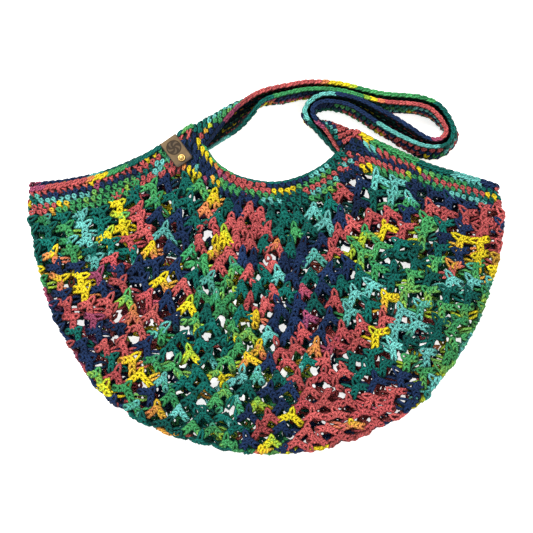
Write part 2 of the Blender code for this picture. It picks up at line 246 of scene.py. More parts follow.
def bandMap(c, w, h, side, byRim=False):
    # c goes along the band and w up it, both from 0 to 1
    run = rimRun if byRim else bandRun
    cIn = np.clip(c, 0, 1)
    s = np.interp(cIn * run[-1], run, bandSpan)
    low, high = topAt(s, "bandGather"), rimAt(s)
    if side < 0:
        shows = band["backShows"] / np.linalg.norm(high - low, axis=-1)
        w = w + shows * (1 - ease(c, *band["backFades"]))
    plan = low + (high - low) * w[..., None]
    over = np.abs(c - cIn) * run[-1]
    away = np.where(c < 0.5, -1.0, 1.0)[..., None] * np.array([1.0, 0.0])
    return rolled(plan, away, over, h, side)


# each row: front ridge, front belly corner, back belly corner, back ridge
strap = {
    "rows": [
        ((-60.0, 67.6, 12.7), (-72.8, 87.6, 12.7), (-72.8, 87.6, 1.9), (-60.0, 67.6, 1.9)),
        ((-36, 96.5, 19), (-42, 106, 11), (-39, 105, 1.9), (-30, 85.5, 8)),
        ((-21.5, 109, 21), (-25.5, 114, 7), (-22, 111.5, 1.9), (-17, 96, 14)),
        ((-5, 118.5, 22), (-7, 121, 4), (-4, 112.5, 1.9), (-3, 110, 20)),
        ((18, 123.8, 23), (17, 123.4, 3), (18, 114, 1.9), (19, 116, 23)),
        ((42, 127.4, 23), (42, 127.4, 3), (42, 119, 1.9), (42, 120.4, 23)),
        ((71, 125.6, 23), (71, 125.6, 3), (71, 117.5, 1.9), (71, 118.8, 23)),
        ((109, 116, 23), (109, 115.4, 3), (109, 106, 1.9), (109, 108.4, 23)),
        ((147, 112.2, 23), (148, 112.2, 3), (146, 103, 1.9), (146, 104.6, 23)),
        ((167.4, 102, 23), (170, 102.6, 3), (163, 97, 1.9), (161.4, 96.6, 23)),
        ((178, 80, 23), (187, 81, 3), (177, 81, 1.9), (171, 80, 23)),
        ((170, 65, 23), (174, 60, 3), (167, 67, 1.9), (165, 71, 23)),
        ((150, 64, 23), (151, 57.5, 3), (152, 67, 1.9), (152, 72, 23)),
        ((127, 74, 23), (130, 69.5, 3), (134, 80, 1.9), (131, 86, 23)),
        ((107, 86, 23), (110, 82, 3), (115, 92, 1.9), (113, 97, 23)),
        ((80, 104, 23), (82, 100.5, 3), (85, 110.5, 1.9), (83, 112, 23)),
        ((56, 108, 23), (59, 107, 3), (56, 115, 1.9), (54, 115, 23)),
        ((44, 101, 23), (48, 102, 3), (36.5, 104, 1.9), (37, 102, 23)),
        ((48, 89, 22), (52, 96, 3), (42.5, 91, 1.9), (41, 89, 22)),
        ((57, 82, 19), (66, 92, 9), (63, 90, 1.9), (52, 80, 13)),
        ((71.0, 62.8, 12.7), (87.0, 82.0, 12.7), (87.0, 82.0, 1.9), (71.0, 62.8, 1.9)),
    ],
    "lengthSteps": 400, "widthSteps": 24, "stitchesLong": 76, "stitchRows": 10, "width": 47.0,
    "rowWidth": 50.0, "knotSize": (0.95, 0.84, 1.0), "edgeLong": 10.0, "edgeHalf": 1.1,
}


def strapGrid():
    line = curveThrough([np.array(row).ravel() for row in strap["rows"]], 12)
    run = runOf(line.reshape(len(line), 4, 3).mean(axis=1))
    want = np.linspace(0, run[-1], strap["lengthSteps"] + 1)
    rows = readTable(want, run, line).reshape(-1, 4, 3)
    # cutting the corners three times rounds the folds
    for _ in range(3):
        near, far = rows[:, :-1], rows[:, 1:]
        cut = np.stack([near * 0.75 + far * 0.25, near * 0.25 + far * 0.75], axis=2).reshape(len(rows), -1, 3)
        rows = np.concatenate([rows[:, :1], cut, rows[:, -1:]], axis=1)
    share = np.linspace(0, 1, strap["widthSteps"] + 1)
    return np.stack([alongLine(row, share) for row in rows]), run[-1]


strapSheet, strapLength = strapGrid()
strapAcross = np.gradient(strapSheet, axis=1)
strapOut = unit(np.cross(np.gradient(strapSheet, axis=0), strapAcross))
strapAcross = unit(strapAcross)


def readGrid(grid, q, p):
    a = np.clip(q, 0, 1) * strap["lengthSteps"]
    b = np.clip(p, 0, 1) * strap["widthSteps"]
    i = np.minimum(a.astype(int), strap["lengthSteps"] - 1)
    j = np.minimum(b.astype(int), strap["widthSteps"] - 1)
    u, v = (a - i)[..., None], (b - j)[..., None]
    return (grid[i, j] * (1 - u) * (1 - v) + grid[i + 1, j] * u * (1 - v)
            + grid[i, j + 1] * (1 - u) * v + grid[i + 1, j + 1] * u * v)


def strapMap(q, p, h):
    # q goes along the strap and p across it, both from 0 to 1
    point = readGrid(strapSheet, q, p) + readGrid(strapOut, q, p) * h[..., None]
    past = (p - np.clip(p, 0, 1)) * strap["width"]
    point = point + readGrid(strapAcross, q, p) * past[..., None]
    return placed(point[..., :2], point[..., 2])


print("surfaces ready: band %.0f mm a side, strap %.0f mm" % (bandLength, strapLength))


# one crochet link, from the narrow end it grows out of to its round end: along, across, height
linkShape = np.array([
    (0.00, 0.26, -0.60), (0.30, 0.84, 0.02), (0.62, 1.00, 0.50), (0.90, 0.72, 0.76), (1.00, 0.00, 0.84),
    (0.90, -0.72, 0.76), (0.62, -1.00, 0.50), (0.30, -0.84, 0.02), (0.00, -0.26, -0.60),
])
# the same, slim, for the top loops, and a flat one for the post inside a leg
slimShape = np.array([
    (0.00, 0.70, -0.6), (0.35, 1.00, 0.2), (0.75, 0.64, 0.75), (1.00, 0.00, 0.85),
    (0.75, -0.64, 0.75), (0.35, -1.00, 0.2), (0.00, -0.70, -0.6),
])
postShape = np.array([(0.0, 1.0, -0.75), (1.0, 1.0, -0.75), (1.0, -1.0, -0.75), (0.0, -1.0, -0.75)])
# one with its point on top, so that a row of them reads as a plait
plaitShape = np.array([
    (0.00, 0.00, 0.65), (0.30, 0.78, 0.95), (0.68, 1.00, 0.30), (0.97, 0.48, -0.75),
    (0.97, -0.48, -0.95), (0.68, -1.00, -0.05), (0.30, -0.78, 0.60),
])


def turned(way, angle):
    cos, sin = np.cos(angle), np.sin(angle)
    return np.stack([way[..., 0] * cos - way[..., 1] * sin, way[..., 0] * sin + way[..., 1] * cos], axis=-1)


def linkPoints(start, way, length, half, shape, loose=0.14):
    # start, way and length one for each stitch; gives plan points and heights
    along = shape[None, :, 0] * length[:, None]
    across = shape[None, :, 1] * half
    side = np.stack([-way[:, 1], way[:, 0]], axis=-1)
    wobble = chance.normal(0, loose, (len(start), len(shape), 2))
    plan = start[:, None] + way[:, None] * along[..., None] + side[:, None] * across[..., None] + wobble
    return plan, np.tile(shape[:, 2], (len(start), 1))


def colourRun(runs, place):
    # runs: each colour and its share of the row, in the row's order
    names, shares = zip(*[run.split() for run in runs.split(", ")])
    shares = np.array(shares, float)
    ends = np.cumsum(shares) / shares.sum()
    pick = np.searchsorted(ends, np.clip(place, 0, 0.9999), side="right")
    return np.array([shade[name] for name in names])[pick]


def onCloth(mapping, first, second, h, probe=0.4):
    # where the points lie, and which way is out of the cloth there
    points = mapping(first, second, h)
    return points, unit(mapping(first, second, h + probe) - points)


def addPath(curve, path, swell):
    line = curve.splines.new("POLY")
    line.points.add(len(path) - 1)
    line.use_cyclic_u = True
    line.points.foreach_set("co", np.column_stack([path / mm, np.ones(len(path))]).ravel())
    line.points.foreach_set("radius", np.full(len(path), swell))


def curveMesh(curve):
    # the paths are drawn in millimetres, and their mesh is scaled down
    holder = bpy.data.objects.new(curve.name + "_path", curve)
    bpy.context.scene.collection.objects.link(holder)
    depsgraph = bpy.context.evaluated_depsgraph_get()
    mesh = bpy.data.meshes.new_from_object(holder.evaluated_get(depsgraph))
    mesh.name = curve.name
    mesh.transform(Matrix.Scale(mm, 4))
    bpy.data.objects.remove(holder, do_unlink=True)
    bpy.data.curves.remove(curve)
    return mesh


def addPiece(name, mesh, finish):
    mesh.materials.clear()
    mesh.materials.append(finish)
    mesh.polygons.foreach_set("use_smooth", np.ones(len(mesh.polygons), bool))
    made = bpy.data.objects.new(name, mesh)
    bpy.context.scene.collection.objects.link(made)
    return made


def yarnPiece(name, strands, yarn, rings, finish, upward=0.85, shortest=0.02):
    curve = bpy.data.curves.new(name, "CURVE")
    curve.dimensions = "3D"
    curve.bevel_depth = yarn / 2
    curve.bevel_resolution = rings
    around = 4 + 2 * rings
    field = {}
    for strand in strands:
        steps = np.linalg.norm(np.roll(strand["points"], -1, axis=1) - strand["points"], axis=2)
        whole = steps.min(axis=1) > shortest * mm
        points = strand["points"][whole]
        for path in points:
            addPath(curve, path, strand.get("swell", 1.0))
        shape = points.shape[:2]
        values = {
            "dye": strand["dye"][whole, None] + np.linspace(0, strand["drift"], shape[1]),
            "tone": strand["tone"][whole, None], "reach": steps[whole].sum(axis=1)[:, None],
            "rise": np.broadcast_to(strand["rise"], steps.shape)[whole],
            "bothFaces": strand.get("bothFaces", False),
        }
        values = {key: np.broadcast_to(value, shape).ravel() for key, value in values.items()}
        values["out"] = strand["out"][whole].reshape(-1, 3)
        for key, value in values.items():
            field.setdefault(key, []).append(np.repeat(value, around, axis=0))
    field = {key: np.concatenate(value) for key, value in field.items()}
    mesh = curveMesh(curve)
    normals = np.empty(len(mesh.vertices) * 3, np.float32)
    mesh.vertices.foreach_get("normal", normals)
    normals = normals.reshape(-1, 3)
    facing = (normals * field["out"]).sum(axis=1)
    facing = np.where(field["bothFaces"], np.abs(facing), facing)
    facing = np.maximum(facing, np.abs(normals[:, 2]) * upward)
    # yarn is darker on its flanks and low down in the stitch, where others shade it
    lit = (0.10 + 0.90 * ease(facing, 0.1, 0.98)) * (0.34 + 0.66 * ease(field["rise"], -0.85, 0.65))
    # painted shade: the random tone is darkened here, so the tone attribute carries both
    field["tone"] = field["tone"] * lit
    for key in ("dye", "tone", "reach"):
        values = field[key].astype(np.float32)
        mesh.attributes.new(key, "FLOAT", "POINT").data.foreach_set("value", values)
    mesh.calc_loop_triangles()
    total = sum(len(strand["points"]) for strand in strands)
    print("%s: %d strands, %d triangles" % (name, total, len(mesh.loop_triangles)))
    return addPiece(name, mesh, finish)


class Value:
    def __init__(self, look, socket):
        self.look = look
        self.socket = socket

    def math(self, operation, *inputs):
        return self.look.node("ShaderNodeMath", {"operation": operation}, dict(enumerate(inputs or (self,))))

    def __add__(self, other):
        return self.math("ADD", self, other)

    __radd__ = __add__

    def __sub__(self, other):
        return self.math("SUBTRACT", self, other)

    def __rsub__(self, other):
        return self.math("SUBTRACT", other, self)

    def __mul__(self, other):
        return self.math("MULTIPLY", self, other)

    __rmul__ = __mul__

    def smooth(self, low, high):
        span = {"Value": self, "From Min": low, "From Max": high}
        return self.look.node("ShaderNodeMapRange", {"interpolation_type": "SMOOTHSTEP"}, span, "Result")


class Finish:
    def __init__(self, name):
        self.material = bpy.data.materials.new(name)
        self.material.use_nodes = True
        self.tree = self.material.node_tree
        self.shader = self.tree.nodes["Principled BSDF"]

    def put(self, socket, value):
        if isinstance(value, Value):
            self.tree.links.new(value.socket, socket)
        else:
            socket.default_value = value

    def node(self, kind, settings=None, values=None, output=0):
        made = self.tree.nodes.new(kind)
        for key, value in (settings or {}).items():
            if key == "stops":
                ramp = made.color_ramp
                while len(ramp.elements) > 1:
                    ramp.elements.remove(ramp.elements[-1])
                for k, (place, colour) in enumerate(value):
                    stop = ramp.elements[0] if k == 0 else ramp.elements.new(place)
                    stop.position = place
                    stop.color = colour
            else:
                setattr(made, key, value)
        for key, value in (values or {}).items():
            self.put(made.inputs[key], value)
        return Value(self, made.outputs[output])

    def attribute(self, name):
        return self.node("ShaderNodeAttribute", {"attribute_name": name}, output="Fac")

    def place(self):
        return self.node("ShaderNodeTexCoord", output="Object")

    def axes(self, vector):
        split = self.node("ShaderNodeSeparateXYZ", None, {"Vector": vector}).socket.node
        return [Value(self, split.outputs[axis]) for axis in "XYZ"]

    def noise(self, scale, detail):
        values = {"Vector": self.place(), "Scale": scale, "Detail": detail}
        return self.node("ShaderNodeTexNoise", None, values, "Fac")

    def mix(self, share, first, second, blend="MIX"):
        # sockets 0, 6 and 7 are the share and the two colours, and output 2 is the colour
        settings = {"data_type": "RGBA", "blend_type": blend}
        return self.node("ShaderNodeMix", settings, {0: share, 6: first, 7: second}, 2)

    def bump(self, height, strength, distance, under=None):
        values = {"Height": height, "Strength": strength, "Distance": distance}
        if under:
            values["Normal"] = under
        return self.node("ShaderNodeBump", None, values)

    def feed(self, **links):
        for key, value in links.items():
            self.put(self.shader.inputs[key.replace("_", " ")], value)


cotton = {
    "plies": 3.0, "twist": 400.0, "fuzzScale": 2600.0, "patchScale": 520.0, "plyLight": 0.45,
    "fuzzLight": 0.22, "patchLight": 0.40, "leastLight": 0.17, "roughness": 0.72, "shine": 0.16,
    # these two colour the dark sheet of painted shadow under the stitches
    "shadowSheetDark": (0.003, 0.006, 0.008, 1), "shadowSheetPale": (0.010, 0.026, 0.026, 1),
}


def yarnFinish(name):
    look = Finish(name)
    stops = [(place, linear(code)) for place, code in dyeStops]
    colour = look.node("ShaderNodeValToRGB", {"stops": stops}, {"Fac": look.attribute("dye").math("FRACT")})
    along, around, _ = look.axes(look.node("ShaderNodeUVMap", {"uv_map": "UVMap"}))
    fuzz = look.noise(cotton["fuzzScale"], 2.0)
    patch = look.noise(cotton["patchScale"], 3.0)
    # the plies wind round the strand
    wind = along * look.attribute("reach") * cotton["twist"] + around * cotton["plies"] + fuzz * 0.25
    ply = (wind * (2 * math.pi)).math("SINE") * 0.5 + 0.5
    # painted highlight and shade: the plies are lighter on their crests and darker in the grooves between
    # them; the fuzz and patch noise give random tone and painted highlights
    level = ply.smooth(0.0, 0.7) * cotton["plyLight"] + fuzz * cotton["fuzzLight"]
    level = level + patch.smooth(0.3, 0.7) * cotton["patchLight"] + cotton["leastLight"]
    # tone holds random tone and the painted shade on the yarn's flanks and low places
    level = level * look.attribute("tone")
    light = look.node("ShaderNodeCombineXYZ", None, {"X": level, "Y": level, "Z": level})
    look.feed(
        Base_Color=look.mix(1.0, colour, light, "MULTIPLY"), Roughness=fuzz * 0.15 + cotton["roughness"],
        Normal=look.bump(fuzz, 0.3, 0.0003, look.bump(ply, 0.9, 0.0007)),
        Specular_IOR_Level=cotton["shine"],
    )
    return look.material


def shadowSheetFinish(name):
    look = Finish(name)
    # painted shadow: a near-black speckled finish for the sheet that stands in for the shade between stitches
    grain = look.noise(420.0, 4.0)
    colour = look.mix(grain.smooth(0.35, 0.7), cotton["shadowSheetDark"], cotton["shadowSheetPale"])
    look.feed(Base_Color=colour, Roughness=0.95, Normal=look.bump(grain, 0.6, 0.0006), Specular_IOR_Level=0.1)
    return look.material


yarnCotton = yarnFinish("variegated_cotton")
# the finish of the painted-shadow sheets
shadowSheetMaterial = shadowSheetFinish("painted_shadow_sheet")
print("yarn finishes made")


# where the dye pools on the net, from the bag's middle: x, y, reach, colour of most stitches and of others
pools = [
    (-213, 33, 17, "teal", "green"), (-179, 34, 19, "teal", "green"), (-147, 53, 13, "teal", "lime"),
    (-187, 15, 15, "aqua", "green"), (-201, -5, 14, "green", "yellow"), (-185, -21, 15, "navy", "yellow"),
    (-206, -38, 13, "navy", "coral"), (-171, -47, 21, "coral", "magenta"), (-154, 0, 15, "coral", "navy"),
    (-141, 23, 15, "coral", "teal"), (-133, -26, 16, "navy", "coral"), (-120, 54, 15, "coral", "green"),
    (-116, 17, 13, "aqua", "coral"), (-98, 21, 18, "navy", "magenta"), (-96, 59, 15, "navy", "teal"),
    (-68, 54, 19, "teal", "green"), (-109, -13, 14, "navy", "coral"), (-76, 6, 14, "coral", "navy"),
    (-52, 34, 11, "teal", "yellow"), (-25, 48, 12, "navy", "magenta"), (-33, 21, 16, "coral", "coral"),
    (-2, 40, 13, "coral", "navy"), (32, 33, 19, "teal", "green"), (43, 12, 12, "aqua", "navy"),
    (57, 38, 10, "aqua", "teal"), (74, 38, 16, "coral", "navy"), (-16, 0, 13, "coral", "navy"),
    (-54, -17, 17, "green", "teal"), (-25, -24, 7, "yellow", "teal"), (-2, -28, 14, "coral", "teal"),
    (13, -26, 12, "aqua", "coral"), (36, -22, 23, "navy", "teal"), (41, -53, 17, "navy", "magenta"),
    (7, -59, 13, "navy", "coral"), (-54, -53, 21, "green", "teal"), (-25, -57, 8, "yellow", "teal"),
    (-90, -42, 14, "coral", "navy"), (-103, -66, 13, "aqua", "orange"), (-147, -68, 19, "coral", "navy"),
    (-160, -100, 17, "navy", "coral"), (-124, -95, 16, "navy", "yellow"), (-99, -114, 17, "aqua", "green"),
    (-73, -93, 23, "teal", "green"), (-63, -140, 27, "teal", "green"), (-29, -107, 21, "green", "aqua"),
    (1, -112, 12, "teal", "yellow"), (3, -150, 16, "navy", "yellow"), (22, -107, 15, "navy", "coral"),
    (30, -83, 13, "coral", "navy"), (60, -120, 25, "coral", "coral"), (60, -155, 28, "coral", "coral"),
    (92, -158, 22, "coral", "coral"), (91, -93, 17, "navy", "coral"), (113, -102, 12, "yellow", "navy"),
    (115, -131, 14, "navy", "coral"), (138, -93, 16, "aqua", "green"), (174, -69, 27, "teal", "green"),
    (122, -60, 14, "aqua", "coral"), (68, -22, 14, "coral", "navy"), (75, -53, 14, "coral", "aqua"),
    (100, -36, 13, "teal", "aqua"), (132, -26, 21, "green", "teal"), (96, 7, 14, "green", "yellow"),
    (85, 65, 12, "coral", "navy"), (104, 67, 13, "aqua", "teal"), (114, 46, 12, "coral", "yellow"),
    (131, 61, 13, "navy", "aqua"), (148, 38, 16, "coral", "navy"), (150, 12, 15, "teal", "green"),
    (190, 34, 17, "coral", "navy"), (216, 38, 18, "coral", "navy"), (216, 22, 7, "navy", "coral"),
    (193, 8, 19, "yellow", "navy"), (170, 4, 11, "yellow", "orange"), (214, 6, 13, "yellow", "yellow"),
    (190, -17, 18, "aqua", "green"), (203, -36, 23, "green", "teal"), (165, -36, 19, "teal", "green"),
]
dyeing = {
    "blur": 0.12, "nextPool": 0.2, "others": (0.26, 0.50), "stray": 0.15, "strayTeal": 0.4,
    "strays": ("yellow", "aqua", "lime", "orange", "navy", "green"), "noise": 0.022, "backShift": 37,
    "changes": 0.17, "yellowChanges": 0.45, "yellowEnd": 0.06, "change": 0.05, "noChange": 0.008,
}


def poolDye(places, row, shift):
    spots = np.array([(x + shift, y) for x, y, *_ in pools], float)
    reach = np.array([pool[2] for pool in pools], float)
    far = np.sqrt(((places[:, None] - spots[None]) ** 2).sum(-1)) / reach
    far += chance.normal(0, dyeing["blur"], far.shape)
    order = np.argsort(far, axis=1)
    count = len(order)
    pick = order[np.arange(count), (chance.random(count) < dyeing["nextPool"]).astype(int)]
    other = chance.random(count) < np.where(row % 2 == 1, dyeing["others"][1], dyeing["others"][0])
    value = np.array([shade[pools[k][4 if isOther else 3]] for k, isOther in zip(pick, other)])
    tealStray = chance.random(count) < dyeing["strayTeal"]
    stray = chance.choice([shade[name] for name in dyeing["strays"]], count)
    stray = np.where(tealStray, shade["teal"], stray)
    value = np.where(chance.random(count) < dyeing["stray"], stray, value)
    return value + chance.normal(0, dyeing["noise"], count)


# the holes, where the stitches of both faces stand aside, from the bag's middle too
holes = {
    "widest": [(-57, 28), (-139, -53), (-143, -71), (-126, -72), (-35, -137)],
    "others": [
        (-53, 14), (-103, -62), (-90, -88), (-81, -97), (-61, -131), (-95, 5), (-16, -80), (-35, -67),
        (-44, -80), (-47, -112), (-28, -105), (-9, -15), (-35, -27), (-2, -32), (-11, -42), (-20, -57),
        (-30, -39), (-40, -54), (-4, -61), (4, -49), (16, -61), (-76, -61), (-57, -69), (0, 0), (-66, 1),
        (75, 13), (5, 5), (15, -39), (8, -80), (16, -102), (46, -102), (63, -97), (119, 2), (129, -1),
        (179, -71), (162, -80), (195, -57), (70, -123), (61, -118),
    ],
    "widePush": 6.8, "push": 4.2, "reach": 7.0,
}
holeAt = np.array(holes["widest"] + holes["others"], float)
holePush = np.array([holes["widePush"]] * len(holes["widest"]) + [holes["push"]] * len(holes["others"]))


def aside(places):
    apart = places[:, None] - holeAt[None]
    far = np.maximum(np.sqrt((apart ** 2).sum(-1)), 0.3)
    push = holePush * np.exp(-(far / holes["reach"]) ** 2)
    return (apart / far[..., None] * push[..., None]).sum(axis=1)


# how far the stitches lean towards the middle, against x; low on the right the rows lie almost level
lean = {
    "x": (-220, -193, -156, -128, -100, -62, -15, 22, 59, 78, 97, 140, 220),
    "degrees": (60, 58, 50, 40, 26, 12, 3, 0, -12, -30, -44, -52, -58), "unevenness": 13, "full": 60,
    "levelRows": (10.5, 14), "levelX": 72, "levelReach": 48, "levelSplay": 70, "outerMost": 98,
}
stitch = {
    "legLong": 0.88, "legUneven": 0.09, "legTurn": 8, "loopTurn": 12, "chainTurn": 20, "half": 2.15,
    "halfUneven": 0.08, "tight": 0.45, "tightLong": 4.4, "looseLong": 7.4, "chainLong": 4.5, "height": 1.2,
}


def rowPlace(row):
    return 1 - np.clip(1 - (row + net["firstRow"]) / net["rows"], 0, 2) ** net["footDraw"]


def netPlaces(shift):
    rows = np.arange(-1, net["rows"] + 1)
    u = np.arange(net["columns"] + 1) + shift
    row, u = np.meshgrid(rows, u, indexing="ij")
    u = u + 0.5 * (row % 2)
    row, u = row.ravel(), u.ravel()
    keep = (u > -0.3) & (u < net["columns"] + 0.3)
    row, u = row[keep], u[keep]
    t = rowPlace(row)
    spot = netPlan(u, t)
    pitch = np.linalg.norm(netPlan(u + 0.5, t) - netPlan(u - 0.5, t), axis=-1)
    tall = np.linalg.norm(netPlan(u, rowPlace(row + 1)) - spot, axis=-1)
    spot = spot + chance.normal(0, net["unevenness"], spot.shape)
    inside = (pastFold(spot)[2] < net["pastFold"]) & ((row >= 0) | (shift == 0))
    return u[inside], row[inside], spot[inside], pitch[inside], tall[inside]


def netStitches(side, first, last):
    # what is settled for each stitch of the columns from first up to last
    u, row, spot, pitch, tall = netPlaces(0.0 if side > 0 else 0.5)
    chosen = (u >= first) & (u < last)
    row, spot, pitch, tall = row[chosen], spot[chosen], pitch[chosen], tall[chosen]
    count = len(row)
    tilt = np.interp(spot[:, 0], lean["x"], lean["degrees"]) + chance.normal(0, lean["unevenness"], count)
    hand = np.sign(tilt + 1e-6)
    bunched = np.clip(np.abs(tilt) / lean["full"], 0, 1.1)
    gathered = np.maximum(bunched, 1 - ease(row, 0, 5))
    splay = np.degrees(np.arctan2(0.5 * pitch, tall))
    level = ease(row, *lean["levelRows"]) * np.exp(-((spot[:, 0] - lean["levelX"]) / lean["levelReach"]) ** 2)
    splay = splay + (lean["levelSplay"] - splay) * level
    bunched = bunched * (1 - 0.8 * level)
    down = np.tile([0.0, -1.0], (count, 1))
    inner = hand * splay * (1 - bunched) + chance.normal(0, stitch["legTurn"], count)
    outer = hand * (splay + (lean["outerMost"] - splay) * bunched)
    outer = outer + chance.normal(0, stitch["legTurn"], count)
    innerWay, outerWay = turned(down, np.radians(inner)), turned(down, -np.radians(outer))
    loopWay = turned(-down, -np.radians(tilt * 0.9 + chance.normal(0, stitch["loopTurn"], count)))
    long = np.hypot(0.5 * pitch, tall) * stitch["legLong"] * chance.normal(1, stitch["legUneven"], count)
    tone = chance.normal(1.0, 0.12, count)
    centre = spot + (innerWay + outerWay) * (long * 0.25)[:, None]
    dye = poolDye(centre - [0, bag["midY"]], row, 0 if side > 0 else dyeing["backShift"])
    half = stitch["half"] * (1 + 0.14 * gathered) * chance.normal(1, stitch["halfUneven"], count)
    low = np.where(row < 0, -2.4, 0.0) + chance.normal(0, 0.35, count)
    # the dye changes within one stitch out of six, and oftener where it is yellow
    often = np.where(dye < dyeing["yellowEnd"], dyeing["yellowChanges"], dyeing["changes"])
    change = np.where(chance.random(count) < often, dyeing["change"], dyeing["noChange"])
    return SimpleNamespace(
        count=count, spot=spot, pitch=pitch, hand=hand, bunched=bunched, gathered=gathered, down=down,
        inner=innerWay, outer=outerWay, loop=loopWay, long=long, tone=tone, dye=dye, half=half, low=low,
        change=change,
    )


def netStrands(side, links, first, last):
    made = netStitches(side, first, last)
    spot, long, half, change = made.spot, made.long, made.half, made.change
    outerLong = long * (1 - 0.22 * made.bunched)
    # way, length, height and place in the dye's change of the two legs
    legs = ((made.outer, outerLong, 1.3, 0.0), (made.inner, long, 1.1, 0.7))
    strands = []

    def add(root, way, length, half, base, shift, share=0.0, size=1.0, drop=1.9, swell=1.0, form=plaitShape):
        start = root + way * (length * share)[:, None]
        plan, height = linkPoints(start, way, length * size, half[:, None], form)
        plan = plan + aside(plan.mean(axis=1) - [0, bag["midY"]])[:, None]
        sunk = drop * (np.max(share) + size * form[None, :, 0])
        h = height * stitch["height"] + (base + made.low)[:, None] - sunk
        points, out = onCloth(lambda place, _, high: laid(place, high, side), plan, None, h)
        strands.append({
            "points": points, "out": out, "rise": height, "drift": 0.012, "swell": swell,
            "dye": made.dye + shift + chance.normal(0, 0.008, made.count),
            "tone": made.tone * chance.normal(1, 0.05, made.count), "bothFaces": side < 0,
        })

    for k in range(links):
        for way, length, base, later in legs:
            shift = change * (later + k * 0.3)
            add(spot, way, length, half, base, shift, share=k * 0.9 / links - 0.06, size=1.5 / links)
    if side > 0:
        # the post inside each leg closes it
        add(spot, made.outer, outerLong, half * 0.25, 0.2, change * 0.3, swell=1.15, form=postShape)
        add(spot, made.inner, long, half * 0.25, 0.0, change, swell=1.15, form=postShape)
    # some of the top loops are drawn in by the row above
    drawnIn = chance.random(made.count) < stitch["tight"]
    loopLong = np.where(drawnIn, stitch["tightLong"], stitch["looseLong"]) + 2.4 * made.bunched
    loopLong = loopLong * chance.normal(1, 0.1, made.count)
    add(
        spot, made.loop, loopLong, half * 1.05, 1.4, -0.012, share=-0.25, size=1.25, drop=-0.2, swell=0.9,
        form=slimShape,
    )
    # the chain between two of them lies lower, and only shows where the net is gathered
    packed = (made.gathered > 0.3) | (side < 0)
    root = np.where(packed[:, None], spot + made.inner * (long * 0.5)[:, None], spot)
    across = made.hand * 90 + chance.normal(0, stitch["chainTurn"], made.count)
    chainLong = np.where(packed, made.pitch * 0.8, stitch["chainLong"])
    share, base = np.where(packed, 0.0, -0.5), np.where(packed, -1.8, -2.4)
    add(root, turned(made.down, np.radians(across)), chainLong, half, base, 0.05, share=share, drop=0.3)
    return strands


split = net["splitColumn"]
netLeft = yarnPiece("net_front_left", netStrands(1, 3, -math.inf, split), net["yarn"], 1, yarnCotton)
netRight = yarnPiece("net_front_right", netStrands(1, 3, split, math.inf), net["yarn"], 1, yarnCotton)
netBack = yarnPiece("net_back", netStrands(-1, 2, -math.inf, math.inf), net["yarn"], 1, yarnCotton)


# the dye along each row of the band, from the left corner to the right one; row 0 is next to the net
bandRuns = {
    "backEdge": (
        "magenta 1.5, navy 9.5, aqua 2.5, teal 10, green 12, teal 30, coral 10, green 14, navy 10.5"
    ),
    "edge": (
        "magenta 2, coral 8.5, orange 1.5, yellow 2, green 5, teal 11, green 15, teal 23, coral 5, "
        "yellow 2, green 9, teal 6.5, aqua 6, navy 3.5"
    ),
    4: (
        "coral 9.5, orange 1.5, yellow 2, coral 10.5, yellow 2, green 5, coral 1.5, navy 2, yellow 5, "
        "orange 1.5, coral 11, navy 8.5, aqua 5, teal 4, navy 2.5, coral 1.5, yellow 2, green 9, teal 6.5, "
        "aqua 6, navy 3.5"
    ),
    3: (
        "aqua 1.5, navy 11, magenta 1.5, navy 7, coral 6, green 2, navy 11, magenta 2, coral 10.5, "
        "yellow 4.5, green 7.5, teal 2.5, coral 3, navy 3, aqua 2, coral 8.5, yellow 1.5, green 9.5, "
        "teal 5.5"
    ),
    2: (
        "teal 2, aqua 10, green 9, teal 3.5, aqua 5.5, navy 9, teal 2.5, green 11, teal 5.5, coral 9, "
        "aqua 3, navy 14, magenta 1.5, coral 11.5, yellow 3"
    ),
    1: (
        "coral 4.5, orange 1, yellow 1.5, green 15, coral 3, aqua 2, coral 4, navy 4, aqua 2, navy 2, "
        "yellow 2.5, green 4, navy 4, aqua 4.5, teal 5, aqua 6, navy 5, coral 10.5, orange 1, lime 1.5, "
        "green 9.5, teal 7.5"
    ),
    0: (
        "coral 3.5, yellow 1.5, green 14, teal 3, coral 10, orange 2, yellow 3, magenta 2, teal 2.5, "
        "navy 8, teal 9.5, green 6, navy 5, yellow 3, green 9, navy 3, teal 5, aqua 8, navy 2"
    ),
}
# a single crochet as seen here: a loop round a dark eye, its two legs crossing below
knotShape = np.array([
    (-1.3, -3.9, -0.5), (-0.3, -1.3, 0.5), (1.55, 0.8, 0.9), (1.2, 2.6, 0.6),
    (-1.2, 2.7, 0.5), (-1.95, 1.0, 0.8), (-0.5, -1.2, 1.3), (2.5, -3.7, 0.0),
])


def knotPoints(count, size, loose, slack):
    # loose moves a whole stitch and slack each of its points
    points = knotShape[None] * size + chance.normal(0, loose, (count, 1, 3))
    points = points + chance.normal(0, slack, (count, len(knotShape), 3))
    points[..., 0] -= band["slant"] * points[..., 1]
    return points


def chainPoints(count, long, half, twist):
    # the links of a chained edge, each a little askew
    points = linkShape[None] * [long, half, 1.0] + chance.normal(0, 0.12, (count, len(linkShape), 3))
    points[..., 1] += (points[..., 0] / (long / 2) - 1.0) * twist
    return points


label = {
    "top": (-94.6, 72.9), "down": (0.588, -0.809), "thick": 1.6, "halfWide": 9.2, "front": 28.5, "back": 25.0,
    "corner": 2.2, "bendAt": 1.8, "bendRoom": 0.3, "ringDown": 9.8, "ringRadius": 7.4,
    "stepsAcross": 14, "stepsAlong": 64,
}
labelDown = np.array(label["down"])
labelAcross = np.array([-labelDown[1], labelDown[0]])


def underLabel(points, margin=1.0):
    # which of these places the leather covers
    reach = points[:, :2] / mm + [0, bag["midY"]] - label["top"]
    beside, below = np.abs(reach @ labelAcross), reach @ labelDown
    return (beside < label["halfWide"] + margin) & (below < label["front"] + margin)


